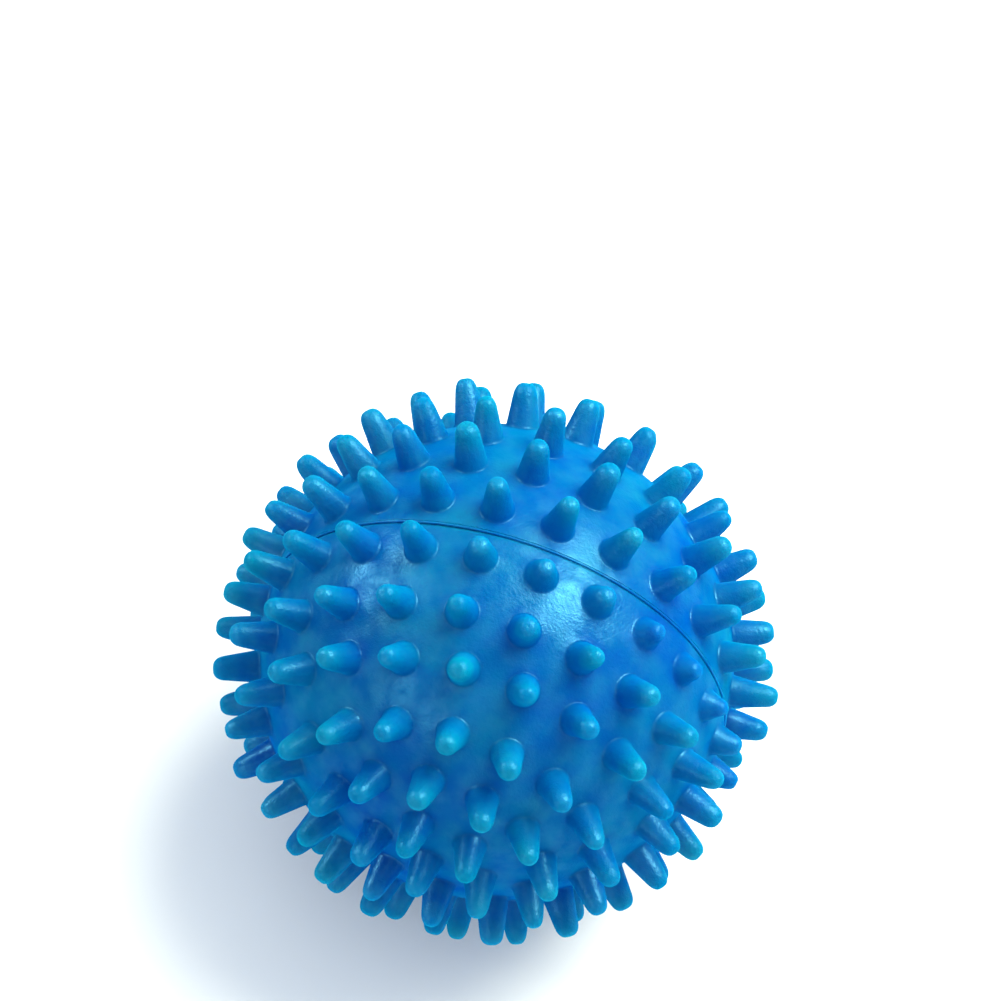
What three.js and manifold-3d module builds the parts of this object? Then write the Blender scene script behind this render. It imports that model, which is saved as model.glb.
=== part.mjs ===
// Spiky hollow laundry dryer ball: two moulded half shells that lap at the seam, and the bead that
// joins them. Millimetres, +Z up. The origin is the ball's centre, its poles lie on the Y axis and
// its seam lies in the XZ plane. At rest the ball stands on the four tips round -Z.
import * as THREE from "three";
import { mergeVertices } from "three/addons/utils/BufferGeometryUtils.js";
import Module from "manifold-3d";

const wasm = await Module();
wasm.setup();

// Driving dimensions
const TIP_RADIUS = 35; // ball's centre to the end of a spike
const BODY_RADIUS = 29.2; // ball's centre to the skin between the spikes
const WALL = 2.4;
const CLEARANCE = 0.3; // between neighbouring solids
const SPIKE_ROOT_RADIUS = 2.35; // at its root, half way through the wall
const SPIKE_SHOULDER_RADIUS = 1.3; // where the taper ends and the rounded tip begins
const SPIKE_TIP_HEIGHT = 1.1; // of the rounded tip
const SPIKE_CROWN_RADIUS = 0.7; // of the facet ring round the tip's end
const SPIKE_CROWN_HEIGHT = 0.2; // from that ring to the end
const TONGUE_LENGTH = 2.5; // how far the front half reaches inside the rear half
const TONGUE_THICKNESS = 0.95;
const BEAD_RADIUS = 0.4; // section of the seam bead
const BEAD_SINK = 0.1; // of the bead's middle, below the skin
const GROOVE_EASE = 0.05; // the groove's width beyond the bead and its clearance
const VENT_RADIUS = 0.7;
const VENT_LIP_RADIUS = 1.35;
const VENT_LIP_TAPER = 0.25; // the lip's radius at its foot less that at its top
const VENT_LIP_HEIGHT = 0.35;

// The vent lies in a gap between the two rings nearest the pole spike, placed as a spike is
const VENT_LATITUDE = 70;
const VENT_ANGLE = 84;

// Spike rings of one half, from the seam to the pole. latitude is above the seam plane. start is
// the first spike's angle round the pole axis, from the axis that one half is turned over about to
// face the other. Both are in degrees.
const RINGS = [
  { latitude: 7, count: 24, start: 7.5 },
  { latitude: 21, count: 22, start: 11 },
  { latitude: 34, count: 20, start: 10 },
  { latitude: 49.5, count: 17, start: 14.5 },
  { latitude: 63, count: 12, start: 9 },
  { latitude: 76.5, count: 6, start: 46.5 },
  { latitude: 90, count: 1, start: 0 },
];
const TURN_ABOUT_POLES = -30; // sets the ball on the four tips round -Z

// Tessellation
const BODY_SEGMENTS = 32;
const BODY_ARC_STEPS = 8; // from the seam to the pole
const SPIKE_SIDES = 8;
const BEAD_SIDES = 6;
const VENT_SIDES = 12;

// Derived dimensions
const INNER_RADIUS = BODY_RADIUS - WALL;
const SPIKE_ROOT_HEIGHT = BODY_RADIUS - WALL / 2; // ball's centre to where a spike starts inside the wall
const SEAM_FACE = CLEARANCE / 2; // each half's seam face, above the seam plane
const TONGUE_RADIUS = INNER_RADIUS + TONGUE_THICKNESS;
const REBATE_RADIUS = TONGUE_RADIUS + CLEARANCE;
const BEAD_CENTRE_RADIUS = BODY_RADIUS - BEAD_SINK;
const GROOVE_FLOOR_RADIUS = BEAD_CENTRE_RADIUS - BEAD_RADIUS - CLEARANCE;
const GROOVE_FLOOR_WIDTH = BEAD_RADIUS + GROOVE_EASE; // from the seam plane
const GROOVE_MOUTH_WIDTH = GROOVE_FLOOR_WIDTH + CLEARANCE;

const radians = THREE.MathUtils.degToRad;

// Points of a circle about the origin in the profile plane, from one latitude to another
function arc(radius, fromLatitude, toLatitude) {
  const points = [];
  for (let i = 0; i <= BODY_ARC_STEPS; i++) {
    const latitude = radians(fromLatitude + ((toLatitude - fromLatitude) * i) / BODY_ARC_STEPS);
    points.push(new THREE.Vector2(radius * Math.cos(latitude), radius * Math.sin(latitude)));
  }
  points.forEach((point) => (point.x = Math.max(point.x, 0)));
  return points;
}

function latitudeAtHeight(radius, height) {
  return THREE.MathUtils.radToDeg(Math.asin(height / radius));
}

// A closed mesh as a solid: shared vertices are merged and the flat triangles at the axis dropped
function solidFrom(geometry) {
  geometry.deleteAttribute("normal");
  geometry.deleteAttribute("uv");
  const merged = mergeVertices(geometry, 1e-4);
  const corners = merged.index.array;
  const triangles = [];
  for (let i = 0; i < corners.length; i += 3) {
    const [a, b, c] = corners.slice(i, i + 3);
    if (a !== b && b !== c && c !== a) triangles.push(a, b, c);
  }
  const vertProperties = new Float32Array(merged.attributes.position.array);
  return new wasm.Manifold(
    new wasm.Mesh({ numProp: 3, vertProperties, triVerts: new Uint32Array(triangles) })
  );
}

function geometryFrom(solid) {
  const mesh = solid.getMesh();
  const geometry = new THREE.BufferGeometry();
  geometry.setAttribute("position", new THREE.BufferAttribute(mesh.vertProperties, 3));
  geometry.setIndex(new THREE.BufferAttribute(mesh.triVerts, 1));
  geometry.computeVertexNormals();
  return geometry;
}

// Turns a geometry that stands along +Y so that it points out at a latitude and an angle round Y
function pointOutwards(geometry, latitude, angle) {
  geometry.rotateX(radians(90 - latitude));
  geometry.rotateY(radians(angle));
  return geometry;
}

// Tapered spike with a rounded tip, standing along +Y at its place above the ball's centre
function spikeGeometry() {
  const profile = [
    new THREE.Vector2(0, SPIKE_ROOT_HEIGHT),
    new THREE.Vector2(SPIKE_ROOT_RADIUS, SPIKE_ROOT_HEIGHT),
    new THREE.Vector2(SPIKE_SHOULDER_RADIUS, TIP_RADIUS - SPIKE_TIP_HEIGHT),
    new THREE.Vector2(SPIKE_CROWN_RADIUS, TIP_RADIUS - SPIKE_CROWN_HEIGHT),
    new THREE.Vector2(0, TIP_RADIUS),
  ];
  return new THREE.LatheGeometry(profile, SPIKE_SIDES);
}

// The spikes of one half, each placed by its ring
function spikeSolids() {
  const spikes = [];
  RINGS.forEach(({ latitude, count, start }) => {
    for (let i = 0; i < count; i++) {
      const angle = start + (360 / count) * i;
      spikes.push(solidFrom(pointOutwards(spikeGeometry(), latitude, angle)));
    }
  });
  return spikes;
}

// The half of the bead's groove that both rims share, from the skin in to the seam face
function grooveProfile() {
  return [
    new THREE.Vector2(GROOVE_FLOOR_RADIUS, GROOVE_FLOOR_WIDTH),
    new THREE.Vector2(GROOVE_FLOOR_RADIUS, SEAM_FACE),
  ];
}

// Rim with a tongue that reaches past the seam plane into the other half
function tongueRim() {
  const points = [
    new THREE.Vector2(TONGUE_RADIUS, SEAM_FACE),
    new THREE.Vector2(TONGUE_RADIUS, -TONGUE_LENGTH),
    new THREE.Vector2(INNER_RADIUS, -TONGUE_LENGTH),
  ];
  return { points, innerHeight: 0 };
}

// Rim with a rebate that takes the other half's tongue
function rebateRim() {
  const depth = TONGUE_LENGTH + CLEARANCE;
  const points = [
    new THREE.Vector2(REBATE_RADIUS, SEAM_FACE),
    new THREE.Vector2(REBATE_RADIUS, depth),
  ];
  return { points, innerHeight: depth };
}

// One half shell with its spikes, its pole along +Y and its rim at the XZ plane
function halfShell(rim) {
  const outer = arc(BODY_RADIUS, 90, latitudeAtHeight(BODY_RADIUS, GROOVE_MOUTH_WIDTH));
  const inner = arc(INNER_RADIUS, latitudeAtHeight(INNER_RADIUS, rim.innerHeight), 90);
  const profile = [...outer, ...grooveProfile(), ...rim.points, ...inner].reverse();
  const shell = solidFrom(new THREE.LatheGeometry(profile, BODY_SEGMENTS));
  return spikeSolids().reduce((half, spike) => half.add(spike), shell);
}

// The vent: a lipped hole through the wall
function addVent(half) {
  const lipHeight = WALL / 2 + VENT_LIP_HEIGHT;
  const lipTopRadius = VENT_LIP_RADIUS - VENT_LIP_TAPER;
  const lip = new THREE.CylinderGeometry(lipTopRadius, VENT_LIP_RADIUS, lipHeight, VENT_SIDES);
  lip.translate(0, SPIKE_ROOT_HEIGHT + lipHeight / 2, 0);
  const hole = new THREE.CylinderGeometry(VENT_RADIUS, VENT_RADIUS, WALL * 2, VENT_SIDES);
  hole.translate(0, SPIKE_ROOT_HEIGHT, 0);
  const lipSolid = solidFrom(pointOutwards(lip, VENT_LATITUDE, VENT_ANGLE));
  const holeSolid = solidFrom(pointOutwards(hole, VENT_LATITUDE, VENT_ANGLE));
  return half.add(lipSolid).subtract(holeSolid);
}

// The bead that lies in the groove round the seam and stands a little proud of the skin
function seamBead() {
  const profile = [];
  for (let i = 0; i <= BEAD_SIDES; i++) {
    const turn = radians((360 / BEAD_SIDES) * (i % BEAD_SIDES));
    const radius = BEAD_CENTRE_RADIUS + BEAD_RADIUS * Math.cos(turn);
    profile.push(new THREE.Vector2(radius, BEAD_RADIUS * Math.sin(turn)));
  }
  return solidFrom(new THREE.LatheGeometry(profile, BODY_SEGMENTS));
}

function softVinyl(colour, roughness) {
  return new THREE.MeshStandardMaterial({ color: colour, roughness, metalness: 0 });
}

function part(name, solid, material) {
  const mesh = new THREE.Mesh(geometryFrom(solid), material);
  mesh.name = name;
  return mesh;
}

const rearHalf = part("rear_half_shell", addVent(halfShell(rebateRim())), softVinyl(0x0a77bb, 0.36));
const frontHalf = part("front_half_shell", halfShell(tongueRim()), softVinyl(0x0a77bb, 0.36));
frontHalf.rotation.z = Math.PI;
const bead = part("seam_weld_bead", seamBead(), softVinyl(0x1283c6, 0.42));

const ball = new THREE.Group();
ball.rotation.y = radians(TURN_ABOUT_POLES);
ball.add(frontHalf, rearHalf, bead);

export default ball;
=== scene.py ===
"""Dryer ball: a hollow ball of soft blue vinyl in two half shells, with rings of blunt spikes.

The CAD frame gives the size. Each half shell and the seam bead are rebuilt here as smooth closed
meshes with round spikes, fillets and a moulded seam, and they stand for the CAD nodes.
Lengths are in metres, in the row frame: poles along Y, seam in the XZ plane, +Z up.
"""

import math
import random

import bmesh
import bpy
from mathutils import Matrix, Vector, noise
from mathutils.geometry import delaunay_2d_cdt


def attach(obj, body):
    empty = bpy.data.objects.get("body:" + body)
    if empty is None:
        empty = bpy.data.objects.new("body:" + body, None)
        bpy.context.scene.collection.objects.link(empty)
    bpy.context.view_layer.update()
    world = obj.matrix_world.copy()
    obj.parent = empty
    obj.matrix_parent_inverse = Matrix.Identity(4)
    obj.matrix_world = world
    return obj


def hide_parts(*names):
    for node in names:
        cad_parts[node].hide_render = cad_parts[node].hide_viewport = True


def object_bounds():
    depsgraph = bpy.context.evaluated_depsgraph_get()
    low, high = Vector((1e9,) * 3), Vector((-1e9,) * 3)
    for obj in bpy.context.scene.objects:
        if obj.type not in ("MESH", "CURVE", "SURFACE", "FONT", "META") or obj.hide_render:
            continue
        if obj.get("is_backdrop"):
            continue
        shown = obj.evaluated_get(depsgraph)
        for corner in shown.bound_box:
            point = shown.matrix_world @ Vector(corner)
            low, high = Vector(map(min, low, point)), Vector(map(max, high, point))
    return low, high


MM = 0.001
BODY = "root"

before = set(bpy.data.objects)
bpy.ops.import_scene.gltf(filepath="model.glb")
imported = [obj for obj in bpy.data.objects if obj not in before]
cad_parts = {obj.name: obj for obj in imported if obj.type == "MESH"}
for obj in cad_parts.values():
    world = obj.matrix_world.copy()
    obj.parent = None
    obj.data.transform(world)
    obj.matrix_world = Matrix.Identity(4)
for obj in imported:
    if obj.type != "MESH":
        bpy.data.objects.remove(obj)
cad_low, cad_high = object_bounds()

# Sizes from the frame: the pole spikes reach the ends of the CAD box along Y.
TIP_RADIUS = cad_high.y
BODY_RADIUS = TIP_RADIUS * 29.2 / 35  # the CAD model's proportion
WALL = 2.4 * MM
INNER_RADIUS = BODY_RADIUS - WALL

# Spike rings of one half, as in the CAD model: latitude above the seam, count, and the first
# spike's angle round the pole axis, from the axis that one half is turned over about.
RINGS = (
    (7, 24, 7.5),
    (21, 22, 11),
    (34, 20, 10),
    (49.5, 17, 14.5),
    (63, 12, 9),
    (76.5, 6, 46.5),
    (90, 1, 0),
)
TURN_ABOUT_POLES = math.radians(-30)

# The front half's spikes beside the seam are shorter on one side: the share of their height that
# they lack at most, the angle round the pole axis where that is, and how many degrees it reaches
SHORT_SHARE = 0.52
SHORT_MIDDLE = 280
SHORT_REACH = 80

# One spike
SPIKE_SIDES = 24
FOOT_RADIUS = 2.3 * MM  # where the fillet meets the skin
SPIKE_BASE_RADIUS = 2.02 * MM  # at the skin, if there were no fillet
SPIKE_SHOULDER_RADIUS = 1.42 * MM  # where the round tip begins
SPIKE_ROUNDING = 1.5 * MM  # height of the round tip
SIDE_PULL = 0.58  # how far the side runs on into the round tip, as a share of its height
CROWN_PULL = 0.66  # how far the crown runs on outwards, as a share of the shoulder
FILLET_HEIGHT = 0.35 * MM
CROWN_RADIUS = 0.3 * MM
CROWN_DIP = 0.05 * MM
FOOT_PAINTED_SHADE_HEIGHT = 0.9 * MM  # where the painted shade in a foot's corner ends
FILLET_STEPS = 5
SIDE_STEPS = 4
TIP_STEPS = 6

# How the spikes differ: what each may lose in height, and the ranges of its other shares
HEIGHT_LOST = 0.7 * MM
SHOULDER_SHARES = (0.94, 1.06)
ROUNDING_SHARES = (0.85, 1.1)
DIP_SHARES = (-0.5, 1.5)
LEAN_SPREAD = 0.02

# Skin between the spikes
SKIN_SPACING = 1.15 * MM
INNER_SPACING = 3.2 * MM
RIM_SEGMENTS = 192
RIM_CLEARANCE = 0.6  # between the rim and the first filler point, in spacings
HOLE_CLEARANCE = 0.55  # between a foot or a hole and a filler point, in spacings

# Waves of the skin: how close they follow each other, their height, and where the pattern starts
SKIN_WAVES = (
    (3.1, 0.07 * MM, Vector((7.3, 1.9, 4.4))),
    (9.0, 0.03 * MM, Vector((2.1, 8.7, 0.6))),
)
WAVE_DEPTH = 1 * MM  # below the skin: how deep the rim's rings still follow the waves

# Seam, with heights above the seam plane in a half's own frame
SKIN_EDGE = 0.4 * MM
JOINT_GAP = 0.03 * MM
GROOVE_WIDTH = 0.29 * MM
GROOVE_DEPTH = 0.14 * MM
BEAD_SEAT_DEPTH = 0.48 * MM
TONGUE_LENGTH = 2.5 * MM
TONGUE_RADIUS = INNER_RADIUS + 0.95 * MM
LIP_RISE = 0.1 * MM  # how far the rear half's edge stands proud
LIP_WIDTH = 0.7 * MM
LIP_EDGE = 0.15 * MM  # from the skin's edge to the bead's seat
BEAD_SEGMENTS = 480
BEAD_SIDES = 16
BEAD_OFFSET = 0.07 * MM  # the bead lies against the rear half
BEAD_HALF_WIDTH = 0.17 * MM
BEAD_HALF_HEIGHT = 0.22 * MM
BEAD_SINK = 0.09 * MM  # its middle, below the skin
BEAD_UNEVENNESS = 0.18  # of its crest, as a share of its half height
BEAD_RIPPLES = 14

# Vent, in a gap between the two rings nearest the pole spike
VENT_LATITUDE = 70
VENT_ANGLE = 84
VENT_FOOT_RADIUS = 1.6 * MM
VENT_RADIUS = 0.7 * MM
VENT_LIP_RADIUS = 1.35 * MM
VENT_LIP_HEIGHT = 0.28 * MM
VENT_SIDES = 32

# Gate mark: the torn edge round the tip of the rear pole spike
GATE_RAGGED = 0.35 * MM
GATE_TEETH = 3  # high points round the tip
GATE_FROM = 4 * MM  # above the skin

SHARP_ANGLE = math.radians(50)  # edges that turn further than this are shaded sharp

# Vinyl: linear colours, noise scales per metre, and sizes
# The deep and pale ends of each vinyl's tone, which mixes random cloudy mottling with painted light
# and shade: the pale end gives the painted glow at the spikes' tips, the deep end the painted shade
# round their feet
BLUE_DEEP = (0.0, 0.055, 0.315, 1)
BLUE_PALE = (0.0, 0.16, 0.275, 1)
WELD_DEEP = (0.0, 0.05, 0.36, 1)
WELD_PALE = (0.0, 0.15, 0.36, 1)
CLOUD_SCALE = 75
BLOTCH_SCALE = 330
FLOW_SCALES = (260, 900, 260)
RIPPLE_SCALE = 420
RIPPLE_HEIGHT = 0.12 * MM
GRAIN_SCALE = 2400
GRAIN_HEIGHT = 0.11 * MM
SHINE_SCALE = 300
SHINE_SHARES = (0.01, 0.036)
SHINE_TINT = (0.2, 0.75, 1.0, 1)
SCATTER_SHARE = 0.7
SCATTER_REACH = 3 * MM
SCATTER_TINT = (0.25, 0.7, 1.0)

# Floor
FLOOR_REACH = 3.0  # metres from the ball to each edge
FLOOR_COLOURS = ((0.86, 0.86, 0.86, 1), (0.89, 0.89, 0.89, 1))
FLOOR_PATCH_SCALE = 6
FIBRE_SCALE = 900
FIBRE_HEIGHT = 0.05 * MM

AZIMUTH = 7.05
ELEVATION = 58.6
ROLL = 11.05
LENS = 308
SENSOR_WIDTH = 36
DISTANCE = 1.05
AIM_RIGHT = 0.6 * MM
AIM_UP = 19.75 * MM

# Lights: where each stands as seen from the camera (right, up, back), its width in metres, its
# power in watts, its colour, and whether it only makes highlights
LIGHT_DISTANCE = 0.6
LIGHTS = {
    "key": ((0.55, 0.7, 0.6), 0.55, 7.5, (1, 1, 0.8), False),
    "glint": ((0.6, 0.53, 0.6), 0.2, 7, (1, 1, 1), True),
    "left_glint": ((-0.76, 0.57, 0.32), 0.2, 4, (1, 1, 1), True),
    "low_glint": ((-0.65, -0.25, 0.715), 0.2, 1.2, (1, 1, 1), True),
}
SKY_COLOUR = (0.84, 0.93, 1.0, 1)
SKY_STRENGTH = 1.18


# ---------------------------------------------------------------- points on the ball


def direction(latitude, angle):
    """The unit vector at a latitude above the seam and an angle round +Y from +Z, in degrees."""
    lat, turn = math.radians(latitude), math.radians(angle)
    return Vector((math.cos(lat) * math.sin(turn), math.sin(lat), math.cos(lat) * math.cos(turn)))


def axes_about(axis):
    """Two unit vectors square to axis and to each other."""
    side = axis.cross(Vector((0, 1, 0)))
    if side.length < 1e-6:
        side = Vector((1, 0, 0))
    side.normalize()
    return side, axis.cross(side)


def ring_about(axis, radius, height, sides):
    """Points of a circle of that radius round axis, at a height along it."""
    u, v = axes_about(axis)
    turns = [2 * math.pi * i / sides for i in range(sides)]
    return [axis * height + (u * math.cos(t) + v * math.sin(t)) * radius for t in turns]


def rim_ring(radius, height):
    """Points of a circle round the pole axis, at a height above the seam plane."""
    turns = [2 * math.pi * i / RIM_SEGMENTS for i in range(RIM_SEGMENTS)]
    return [Vector((radius * math.sin(t), height, radius * math.cos(t))) for t in turns]


def filler_points(spacing, lowest, circles):
    """Evenly spread unit vectors over one half, above lowest and clear of each (axis, radius)."""
    total = int(4 * math.pi / (spacing * spacing * math.sqrt(3) / 2))
    golden = math.pi * (3 - math.sqrt(5))
    points = []
    for i in range(total):
        height = 1 - 2 * (i + 0.5) / total
        if height < lowest + spacing * RIM_CLEARANCE:
            break
        radius = math.sqrt(1 - height * height)
        point = Vector((radius * math.cos(golden * i), height, radius * math.sin(golden * i)))
        margin = spacing * HOLE_CLEARANCE
        if all((point - axis).length > reach + margin for axis, reach in circles):
            points.append(point)
    return points


def skin_triangles(points, holes):
    """Triangles over one half's unit vectors, left open inside each hole, a list of indices.
    They are found in the stereographic view from the far pole, where circles stay circles."""
    flat = [Vector((p.x / (1 + p.y), p.z / (1 + p.y))) for p in points]
    edges = [(hole[i - 1], hole[i]) for hole in holes for i in range(len(hole))]
    result = delaunay_2d_cdt(flat, edges, [], 0, 1e-9)
    faces, originals = result[2], result[3]
    hole_of = {index: number for number, hole in enumerate(holes) for index in hole}
    triangles = []
    for face in faces:
        corners = [originals[i][0] for i in face]
        numbers = {hole_of.get(i) for i in corners}
        if len(numbers) > 1 or None in numbers:
            triangles.append(corners)
    return triangles


VENT_AXIS = direction(VENT_LATITUDE, VENT_ANGLE)


# ---------------------------------------------------------------- profiles


def bezier(points, steps):
    """Points along a quadratic or cubic Bezier curve, without its start."""
    curve = []
    for i in range(1, steps + 1):
        t = i / steps
        level = [Vector(p) for p in points]
        while len(level) > 1:
            level = [a.lerp(b, t) for a, b in zip(level, level[1:])]
        curve.append(level[0])
    return curve


def spike_profile(tip, shoulder, rounding):
    """(radius, height along the axis) pairs from the fillet up to the crown, foot left out."""
    foot = Vector((FOOT_RADIUS, math.sqrt(BODY_RADIUS**2 - FOOT_RADIUS**2)))
    base = Vector((SPIKE_BASE_RADIUS, BODY_RADIUS))
    top = Vector((shoulder, tip - rounding))
    side = (top - base).normalized()
    start = base + side * FILLET_HEIGHT
    tangent = Vector((-foot.y, foot.x)).normalized()
    # the corner is where the skin's tangent at the foot meets the line of the side
    square = Vector((tangent.y, -tangent.x))
    corner = base + side * (foot - base).dot(square) / side.dot(square)
    profile = bezier((foot, corner, start), FILLET_STEPS)
    profile += [start.lerp(top, i / SIDE_STEPS) for i in range(1, SIDE_STEPS + 1)]
    edge = Vector((CROWN_RADIUS, tip))
    pull = top + side * rounding * SIDE_PULL
    over = Vector((shoulder * CROWN_PULL, tip))
    profile += bezier((top, pull, over, edge), TIP_STEPS)
    return profile


def front_rim_profile():
    """(radius, height) pairs from the skin's edge to the inner skin's edge, both left out."""
    skin = math.sqrt(BODY_RADIUS**2 - SKIN_EDGE**2)
    groove = BODY_RADIUS - GROOVE_DEPTH
    seat = BODY_RADIUS - BEAD_SEAT_DEPTH
    return [
        (skin - 0.02 * MM, SKIN_EDGE - 0.06 * MM),
        (skin - 0.06 * MM, SKIN_EDGE - 0.11 * MM),
        (groove + 0.03 * MM, SKIN_EDGE - 0.15 * MM),
        (groove, SKIN_EDGE - 0.22 * MM),
        (groove, SKIN_EDGE - GROOVE_WIDTH),
        (seat, SKIN_EDGE - GROOVE_WIDTH),
        (seat, JOINT_GAP),
        (TONGUE_RADIUS, JOINT_GAP),
        (TONGUE_RADIUS, -TONGUE_LENGTH),
        (INNER_RADIUS, -TONGUE_LENGTH),
    ]


def rear_rim_profile():
    """(radius, height) pairs from the skin's edge to the inner skin's edge, both left out."""
    skin = math.sqrt(BODY_RADIUS**2 - SKIN_EDGE**2)
    seat = BODY_RADIUS - BEAD_SEAT_DEPTH - LIP_RISE
    rebate = TONGUE_RADIUS + JOINT_GAP
    return [
        (skin, SKIN_EDGE - 0.1 * MM),
        (skin - 0.01 * MM, SKIN_EDGE - 0.135 * MM),
        (skin - 0.05 * MM, SKIN_EDGE - LIP_EDGE),
        (seat, SKIN_EDGE - LIP_EDGE),
        (seat, JOINT_GAP),
        (rebate, JOINT_GAP),
        (rebate, TONGUE_LENGTH + JOINT_GAP),
    ]


def vent_profile():
    """(radius, height along the axis) pairs from the lip's foot into the hole, foot left out."""
    skin = BODY_RADIUS
    return [
        (VENT_LIP_RADIUS + 0.12 * MM, skin + 0.01 * MM),
        (VENT_LIP_RADIUS, skin + VENT_LIP_HEIGHT * 0.45),
        (VENT_LIP_RADIUS - 0.1 * MM, skin + VENT_LIP_HEIGHT * 0.85),
        (VENT_LIP_RADIUS - 0.25 * MM, skin + VENT_LIP_HEIGHT),
        (VENT_RADIUS + 0.2 * MM, skin + VENT_LIP_HEIGHT * 0.9),
        (VENT_RADIUS + 0.06 * MM, skin + VENT_LIP_HEIGHT * 0.6),
        (VENT_RADIUS, skin),
        (VENT_RADIUS, skin - WALL / 2),
    ]


# ---------------------------------------------------------------- meshes


def skin_wave(unit):
    """How far the skin stands from a true sphere, in shallow waves as on any soft moulding."""
    return sum(height * noise.noise(unit * pace + start) for pace, height, start in SKIN_WAVES)


class Shell:
    """The points and faces of one half shell in its own frame: pole on +Y, seam at the XZ plane."""

    def __init__(self, rear):
        self.rear = rear
        self.points = []
        self.faces = []
        # each point's share of painted shade, which darkens the corner round a spike's foot
        self.painted_foot_shade = {}

    def wave(self, point):
        """The point moved out by the skin's waves and, on the rear half, by its raised edge."""
        unit = point.normalized()
        lift = skin_wave(unit)
        if self.rear:
            lift += LIP_RISE * math.exp(-((max(point.y - SKIN_EDGE, 0) / LIP_WIDTH) ** 2))
        return point + unit * lift

    def add(self, points, painted_foot_shade=0.0):
        """Adds points and returns their indices; the last argument is a share of painted shade, 1
        in the corner of a foot.
        """
        first = len(self.points)
        self.points += points
        added = list(range(first, first + len(points)))
        if painted_foot_shade > 0:
            self.painted_foot_shade.update(dict.fromkeys(added, painted_foot_shade))
        return added

    def bridge(self, lower, upper):
        """Quads between two rings of as many points each."""
        for i in range(len(lower)):
            self.faces.append((lower[i - 1], lower[i], upper[i], upper[i - 1]))

    def climb(self, ring, axis, profile, lean, ragged=0.0):
        """Rings up a spike from the foot ring, and the last ring's indices."""
        for radius, height in profile:
            above = height - BODY_RADIUS
            shift = lean * max(above, 0)
            points = ring_about(axis, radius, height, len(ring))
            if ragged and above > GATE_FROM:
                for i, point in enumerate(points):
                    turn = 2 * math.pi * i / len(points)
                    points[i] = point + axis * ragged * math.sin(GATE_TEETH * turn)
            # painted shade: full at the foot, fading out up the spike
            painted_foot_shade = 1 - above / FOOT_PAINTED_SHADE_HEIGHT
            upper = self.add([self.wave(point + shift) for point in points], painted_foot_shade)
            self.bridge(ring, upper)
            ring = upper
        return ring

    def cover(self, first, holes, radius, spacing, lowest, circles):
        """Triangles over the open skin between the rings added since point number first."""
        filler = filler_points(spacing / radius, lowest / radius, circles)
        self.add([unit * radius for unit in filler])
        units = [point.normalized() for point in self.points[first:]]
        open_rings = [[i - first for i in hole] for hole in holes]
        for corners in skin_triangles(units, open_rings):
            self.faces.append([first + i for i in corners])

    def close(self, ring, apex):
        """Triangles from a ring to one point."""
        (top,) = self.add([self.wave(apex)])
        for i in range(len(ring)):
            self.faces.append((ring[i - 1], ring[i], top))


def spike_places():
    """The ring number and the angle round the pole axis of each spike of one half."""
    places = []
    for ring, (_, count, start) in enumerate(RINGS):
        places += [(ring, start + 360 / count * i) for i in range(count)]
    return places


def lost_share(rear, ring, angle):
    """The share of its height that a spike lacks, from its ring's number and its angle."""
    away = abs((angle - SHORT_MIDDLE + 180) % 360 - 180)
    if rear or ring > 0 or away > SHORT_REACH:
        return 0.0
    return SHORT_SHARE * math.cos(math.radians(90 * away / SHORT_REACH))


def add_spike(shell, foot, axis, lost, rng, ragged):
    """One spike on its foot ring, a little different from the others in height, girth and lean."""
    full_height = TIP_RADIUS - BODY_RADIUS - rng.uniform(0, HEIGHT_LOST)
    tip = BODY_RADIUS + full_height * (1 - lost)
    shoulder = SPIKE_SHOULDER_RADIUS * rng.uniform(*SHOULDER_SHARES)
    rounding = SPIKE_ROUNDING * rng.uniform(*ROUNDING_SHARES)
    dip = CROWN_DIP * rng.uniform(*DIP_SHARES)
    u, v = axes_about(axis)
    lean = u * rng.gauss(0, LEAN_SPREAD) + v * rng.gauss(0, LEAN_SPREAD)
    last = shell.climb(foot, axis, spike_profile(tip, shoulder, rounding), lean, ragged)
    shell.close(last, axis * (tip - dip) + lean * (tip - dip - BODY_RADIUS))


def add_outer_skin(shell, axes):
    """The skin between the spikes; returns the foot rings, the vent's foot ring and the rim."""
    foot_height = math.sqrt(BODY_RADIUS**2 - FOOT_RADIUS**2)
    feet = []
    for axis in axes:
        feet.append(shell.add(ring_about(axis, FOOT_RADIUS, foot_height, SPIKE_SIDES), 1.0))
    circles = [(axis, FOOT_RADIUS / BODY_RADIUS) for axis in axes]
    vent_foot = []
    if shell.rear:
        vent_height = math.sqrt(BODY_RADIUS**2 - VENT_FOOT_RADIUS**2)
        vent_foot = shell.add(ring_about(VENT_AXIS, VENT_FOOT_RADIUS, vent_height, VENT_SIDES))
        circles.append((VENT_AXIS, VENT_FOOT_RADIUS / BODY_RADIUS))
    rim = shell.add(rim_ring(math.sqrt(BODY_RADIUS**2 - SKIN_EDGE**2), SKIN_EDGE))
    holes = feet + [vent_foot] if shell.rear else feet
    shell.cover(0, holes, BODY_RADIUS, SKIN_SPACING, SKIN_EDGE, circles)
    shell.points = [shell.wave(point) for point in shell.points]
    return feet, vent_foot, rim


def add_rim(shell, rim):
    """The moulded edge, from the outer skin in to the inner skin; returns its last ring."""
    profile = rear_rim_profile() if shell.rear else front_rim_profile()
    for radius, height in profile:
        points = rim_ring(radius, height)
        if radius > BODY_RADIUS - WAVE_DEPTH:
            points = [shell.wave(point) for point in points]
        lower = shell.add(points)
        shell.bridge(rim, lower)
        rim = lower
    return rim


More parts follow.
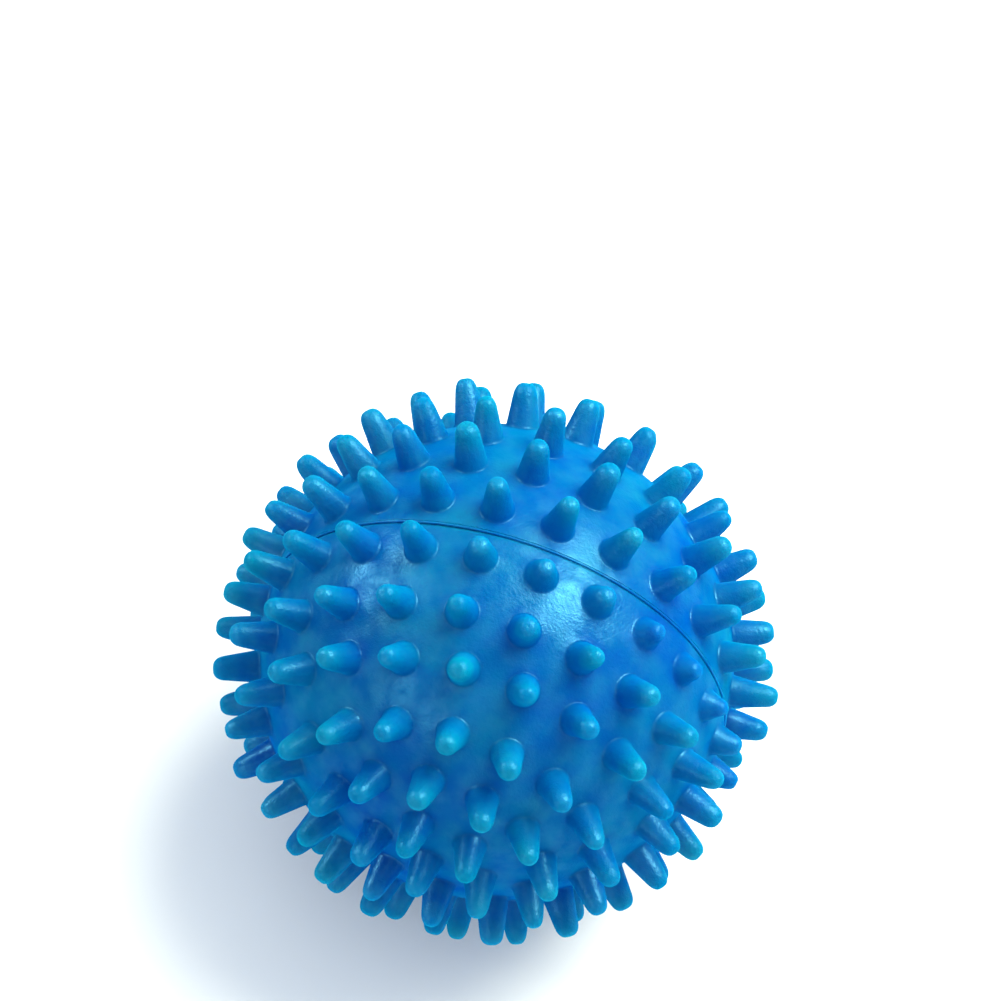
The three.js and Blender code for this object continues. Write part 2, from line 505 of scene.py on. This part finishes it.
def add_inner_skin(shell, rim, vent_bottom):
    """The plain inside of the shell, joined to the rim and to the vent's hole."""
    edge = TONGUE_LENGTH + JOINT_GAP if shell.rear else 0.0
    first = len(shell.points)
    inner_rim = shell.add(rim_ring(math.sqrt(INNER_RADIUS**2 - edge**2), edge))
    shell.bridge(rim, inner_rim)
    holes, circles = [], []
    if shell.rear:
        height = math.sqrt(INNER_RADIUS**2 - VENT_RADIUS**2)
        mouth = shell.add(ring_about(VENT_AXIS, VENT_RADIUS, height, VENT_SIDES))
        shell.bridge(vent_bottom, mouth)
        holes, circles = [mouth], [(VENT_AXIS, VENT_RADIUS / INNER_RADIUS)]
    shell.cover(first, holes, INNER_RADIUS, INNER_SPACING, edge, circles)


def half_shell(name, rear, seed):
    """One half shell as a closed mesh object, placed as the CAD node is."""
    rng = random.Random(seed)
    shell = Shell(rear)
    places = spike_places()
    axes = [direction(RINGS[ring][0], angle) for ring, angle in places]
    feet, vent_foot, rim = add_outer_skin(shell, axes)
    for (ring, angle), axis, foot in zip(places, axes, feet):
        is_gate = rear and ring == len(RINGS) - 1
        ragged = GATE_RAGGED if is_gate else 0.0
        add_spike(shell, foot, axis, lost_share(rear, ring, angle), rng, ragged)
    vent_bottom = []
    if rear:
        vent_bottom = shell.climb(vent_foot, VENT_AXIS, vent_profile(), Vector((0, 0, 0)))
    add_inner_skin(shell, add_rim(shell, rim), vent_bottom)
    turned_over = Matrix() if rear else Matrix.Rotation(math.pi, 4, "Z")
    place = Matrix.Rotation(TURN_ABOUT_POLES, 4, "Y") @ turned_over
    points = [place @ point for point in shell.points]
    return mesh_object(name, points, shell.faces, shell.painted_foot_shade)


def bead(name):
    """The bead of the joint: a fine closed ring with a slightly uneven crest."""
    points, faces = [], []
    place = Matrix.Rotation(TURN_ABOUT_POLES, 4, "Y")
    for i in range(BEAD_SEGMENTS):
        turn = 2 * math.pi * i / BEAD_SEGMENTS
        out = Vector((math.sin(turn), 0, math.cos(turn)))
        middle = BODY_RADIUS - BEAD_SINK + skin_wave(out)
        crest = BEAD_HALF_HEIGHT * (1 + BEAD_UNEVENNESS * noise.noise(out * BEAD_RIPPLES))
        for j in range(BEAD_SIDES):
            t = 2 * math.pi * j / BEAD_SIDES
            rise = math.sin(t) * (crest if math.sin(t) > 0 else BEAD_HALF_HEIGHT)
            across = BEAD_OFFSET + BEAD_HALF_WIDTH * math.cos(t)
            points.append(place @ (out * (middle + rise) + Vector((0, across, 0))))
    for i in range(BEAD_SEGMENTS):
        here, after = i * BEAD_SIDES, (i + 1) % BEAD_SEGMENTS * BEAD_SIDES
        for j in range(BEAD_SIDES):
            k = (j + 1) % BEAD_SIDES
            faces.append((here + j, after + j, after + k, here + k))
    return mesh_object(name, points, faces)


def mesh_object(name, points, faces, painted_foot_shade=None):
    """A smooth mesh object with its faces turned out, and each point's share of painted shade near
    a spike's foot.
    """
    mesh = bpy.data.meshes.new(name)
    mesh.from_pydata([tuple(point) for point in points], [], [tuple(face) for face in faces])
    work = bmesh.new()
    work.from_mesh(mesh)
    bmesh.ops.recalc_face_normals(work, faces=work.faces)
    open_edges = sum(1 for edge in work.edges if len(edge.link_faces) != 2)
    if open_edges:
        raise RuntimeError(f"{name} has {open_edges} open edges")
    work.to_mesh(mesh)
    work.free()
    mesh.shade_smooth()
    # an attribute with the painted shade round the spikes' feet, read by the material
    attribute = mesh.attributes.new("painted_foot_shade", "FLOAT", "POINT")
    for index, share in (painted_foot_shade or {}).items():
        attribute.data[index].value = share
    mesh.set_sharp_from_angle(angle=SHARP_ANGLE)
    piece = bpy.data.objects.new(name, mesh)
    bpy.context.scene.collection.objects.link(piece)
    return piece


# ---------------------------------------------------------------- materials


class Nodes:
    """A material's node tree, with short calls for the nodes used here."""

    def __init__(self, name):
        self.material = bpy.data.materials.new(name)
        self.material.use_nodes = True
        self.tree = self.material.node_tree
        self.tree.nodes.clear()
        self.place = self.add("ShaderNodeTexCoord").outputs["Object"]

    def add(self, kind, **settings):
        node = self.tree.nodes.new(kind)
        for key, value in settings.items():
            setattr(node, key, value)
        return node

    def put(self, socket, value):
        """Links an output to the socket, or sets the socket's own value."""
        if isinstance(value, bpy.types.NodeSocket):
            self.tree.links.new(value, socket)
        else:
            socket.default_value = value

    def noise(self, scale, detail=2.0, place=None, roughness=0.5):
        node = self.add("ShaderNodeTexNoise")
        self.put(node.inputs["Vector"], self.place if place is None else place)
        self.put(node.inputs["Scale"], scale)
        self.put(node.inputs["Detail"], detail)
        self.put(node.inputs["Roughness"], roughness)
        return node.outputs["Fac"]

    def fit(self, value, low, high, to_low=0.0, to_high=1.0):
        """The value spread from one range to another, and kept inside it."""
        node = self.add("ShaderNodeMapRange", clamp=True)
        for socket, item in zip(node.inputs, (value, low, high, to_low, to_high)):
            self.put(socket, item)
        return node.outputs["Result"]

    def maths(self, operation, first, second=0.0):
        node = self.add("ShaderNodeMath", operation=operation)
        self.put(node.inputs[0], first)
        self.put(node.inputs[1], second)
        return node.outputs[0]

    def mix(self, factor, first, second):
        """A blend of two colours."""
        node = self.add("ShaderNodeMix", data_type="RGBA")
        self.put(node.inputs["Factor"], factor)
        self.put([s for s in node.inputs if s.name == "A" and s.type == "RGBA"][0], first)
        self.put([s for s in node.inputs if s.name == "B" and s.type == "RGBA"][0], second)
        return [s for s in node.outputs if s.type == "RGBA"][0]

    def bump(self, height, distance, strength, below=None):
        node = self.add("ShaderNodeBump")
        self.put(node.inputs["Height"], height)
        self.put(node.inputs["Distance"], distance)
        self.put(node.inputs["Strength"], strength)
        if below is not None:
            self.put(node.inputs["Normal"], below)
        return node.outputs["Normal"]

    def principled(self, colour, roughness, normal, **values):
        """The Principled shader, with its even values set by name (an underscore for a space)."""
        shader = self.add("ShaderNodeBsdfPrincipled")
        self.put(shader.inputs["Base Color"], colour)
        self.put(shader.inputs["Roughness"], roughness)
        self.put(shader.inputs["Normal"], normal)
        for key, value in values.items():
            self.put(shader.inputs[key.replace("_", " ")], value)
        return shader.outputs["BSDF"]

    def glossed(self, shader, share, tint, roughness, normal):
        """The shader under a share of tinted gloss."""
        gloss = self.add("ShaderNodeBsdfGlossy")
        self.put(gloss.inputs["Color"], tint)
        self.put(gloss.inputs["Roughness"], roughness)
        self.put(gloss.inputs["Normal"], normal)
        mixed = self.add("ShaderNodeMixShader")
        self.put(mixed.inputs[0], share)
        self.put(mixed.inputs[1], shader)
        self.put(mixed.inputs[2], gloss.outputs["BSDF"])
        return mixed.outputs["Shader"]

    def finish(self, shader):
        output = self.add("ShaderNodeOutputMaterial")
        self.tree.links.new(shader, output.inputs["Surface"])
        return self.material


def stretched(nodes, scale):
    """Coordinates scaled by a different amount along each axis, for drawn-out marks."""
    node = nodes.add("ShaderNodeMapping")
    nodes.put(node.inputs["Vector"], nodes.place)
    nodes.put(node.inputs["Scale"], scale)
    return node.outputs["Vector"]


def height_above_skin(nodes):
    """0 on the skin of the ball and 1 at the spikes' tips."""
    length = nodes.add("ShaderNodeVectorMath", operation="LENGTH")
    nodes.put(length.inputs[0], nodes.place)
    return nodes.fit(length.outputs["Value"], BODY_RADIUS, TIP_RADIUS)


def vinyl_tone_and_painted_light(nodes, clouds, height):
    """How pale the vinyl is: cloudy at random, with painted light that makes the spikes' tips paler
    and painted shade that keeps their lower sides and the corners of their feet deeper.
    """
    # painted shade in the corners of the spikes' feet, taken off the tone below
    foot = nodes.add("ShaderNodeAttribute", attribute_name="painted_foot_shade").outputs["Fac"]
    blotches = nodes.noise(BLOTCH_SCALE, 2)
    tone = nodes.fit(clouds, 0.33, 0.67, -0.2, 0.42)
    tone = nodes.maths("ADD", tone, nodes.fit(blotches, 0.35, 0.65, -0.08, 0.1))
    # painted light and shade: paler towards the spikes' tips, as if lit through the vinyl, and
    # deeper down their sides
    tone = nodes.maths("ADD", tone, nodes.fit(height, 0.4, 1.0, 0.05, 0.72))
    tone = nodes.maths("SUBTRACT", tone, nodes.fit(foot, 0.0, 1.0, 0.0, 0.15))
    return nodes.fit(tone, -0.4, 1.0)


def vinyl_roughness(nodes, clouds):
    """Cloudy, with marks drawn out round the pole axis where the vinyl flowed in the mould."""
    flow = nodes.noise(1, 3, stretched(nodes, FLOW_SCALES))
    rough = nodes.fit(clouds, 0.3, 0.7, 0.3, 0.42)
    return nodes.maths("ADD", rough, nodes.fit(flow, 0.4, 0.7, -0.03, 0.06))


def vinyl_relief(nodes, height):
    """Soft ripples under a fine grain, which is stronger on the spikes."""
    ripples = nodes.bump(nodes.noise(RIPPLE_SCALE, 2), RIPPLE_HEIGHT, 0.35)
    strength = nodes.fit(height, 0.1, 0.8, 0.5, 1.0)
    return nodes.bump(nodes.noise(GRAIN_SCALE, 2, None, 0.6), GRAIN_HEIGHT, strength, ripples)


def vinyl(name, deep, pale):
    """Soft blue vinyl, which lets light in a little, under a satin skin with shinier patches."""
    nodes = Nodes(name)
    height = height_above_skin(nodes)
    clouds = nodes.noise(CLOUD_SCALE, 3)
    rough = vinyl_roughness(nodes, clouds)
    normal = vinyl_relief(nodes, height)
    body = nodes.principled(
        nodes.mix(vinyl_tone_and_painted_light(nodes, clouds, height), deep, pale),
        rough,
        normal,
        Subsurface_Weight=SCATTER_SHARE,
        Subsurface_Radius=SCATTER_TINT,
        Subsurface_Scale=SCATTER_REACH,
        Specular_IOR_Level=0.0,
    )
    shine = nodes.fit(nodes.noise(SHINE_SCALE, 3, None, 0.6), 0.4, 0.62, *SHINE_SHARES)
    return nodes.finish(nodes.glossed(body, shine, SHINE_TINT, rough, normal))


def floor_paper():
    """Pale matt board with a faint tooth."""
    nodes = Nodes("pale_board")
    fibres = nodes.noise(FIBRE_SCALE, 3)
    colour = nodes.mix(nodes.noise(FLOOR_PATCH_SCALE, 2), *FLOOR_COLOURS)
    rough = nodes.fit(fibres, 0.3, 0.7, 0.75, 0.85)
    return nodes.finish(nodes.principled(colour, rough, nodes.bump(fibres, FIBRE_HEIGHT, 0.2)))


# ---------------------------------------------------------------- stage


def add_floor(height):
    """A wide pale floor under the ball."""
    mesh = bpy.data.meshes.new("floor")
    corners = ((-1, -1), (1, -1), (1, 1), (-1, 1))
    points = [(x * FLOOR_REACH, y * FLOOR_REACH, height) for x, y in corners]
    mesh.from_pydata(points, [], [(0, 1, 2, 3)])
    floor = bpy.data.objects.new("floor", mesh)
    bpy.context.scene.collection.objects.link(floor)
    floor.data.materials.append(floor_paper())
    floor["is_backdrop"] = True


def add_light(name, toward, width, power, colour, gloss_only):
    """A round soft light that looks at the ball's centre from a direction."""
    data = bpy.data.lights.new(name, "AREA")
    data.shape = "DISK"
    data.size = width
    data.energy = power
    data.color = colour
    light = bpy.data.objects.new(name, data)
    light.location = toward.normalized() * LIGHT_DISTANCE
    light.rotation_euler = light.location.to_track_quat("Z", "Y").to_euler()
    light.visible_diffuse = not gloss_only
    bpy.context.scene.collection.objects.link(light)


def camera_axes():
    """The camera's right, up and back vectors."""
    a, e, r = math.radians(AZIMUTH), math.radians(ELEVATION), math.radians(ROLL)
    back = Vector((math.sin(a) * math.cos(e), -math.cos(a) * math.cos(e), math.sin(e)))
    level = Vector((math.cos(a), math.sin(a), 0))
    rise = back.cross(level)
    right = level * math.cos(r) + rise * math.sin(r)
    return right, back.cross(right), back


def add_camera():
    """A long lens at the chosen angle, with the ball below the middle of the frame."""
    right, up, back = camera_axes()
    data = bpy.data.cameras.new("camera")
    data.lens = LENS
    data.sensor_width = SENSOR_WIDTH
    camera = bpy.data.objects.new("camera", data)
    camera.location = back * DISTANCE + right * AIM_RIGHT + up * AIM_UP
    camera.rotation_euler = Matrix((right, up, back)).transposed().to_euler()
    bpy.context.scene.collection.objects.link(camera)
    bpy.context.scene.camera = camera


def set_world():
    """An even pale sky."""
    world = bpy.data.worlds.new("studio")
    world.use_nodes = True
    sky = world.node_tree.nodes["Background"]
    sky.inputs["Color"].default_value = SKY_COLOUR
    sky.inputs["Strength"].default_value = SKY_STRENGTH
    bpy.context.scene.world = world


# ---------------------------------------------------------------- the scene


BLUE = vinyl("blue_vinyl_soft", BLUE_DEEP, BLUE_PALE)
WELD = vinyl("weld_vinyl_soft", WELD_DEEP, WELD_PALE)

PIECES = (
    (half_shell("front_half", rear=False, seed=11), "front_half_shell", "blue_vinyl", BLUE),
    (half_shell("rear_half", rear=True, seed=23), "rear_half_shell", "blue_vinyl", BLUE),
    (bead("seam_bead"), "seam_weld_bead", "weld_vinyl", WELD),
)
for piece, node, slot, material in PIECES:
    piece.data.materials.append(material)
    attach(piece, BODY)
    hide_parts(node)

low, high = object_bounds()
add_floor(low.z)
set_world()
right, up, back = camera_axes()
for name, (place, width, power, colour, gloss_only) in LIGHTS.items():
    toward = right * place[0] + up * place[1] + back * place[2]
    add_light(name, toward, width, power, colour, gloss_only)
add_camera()
bpy.context.scene.view_settings.view_transform = "Standard"

low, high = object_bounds()
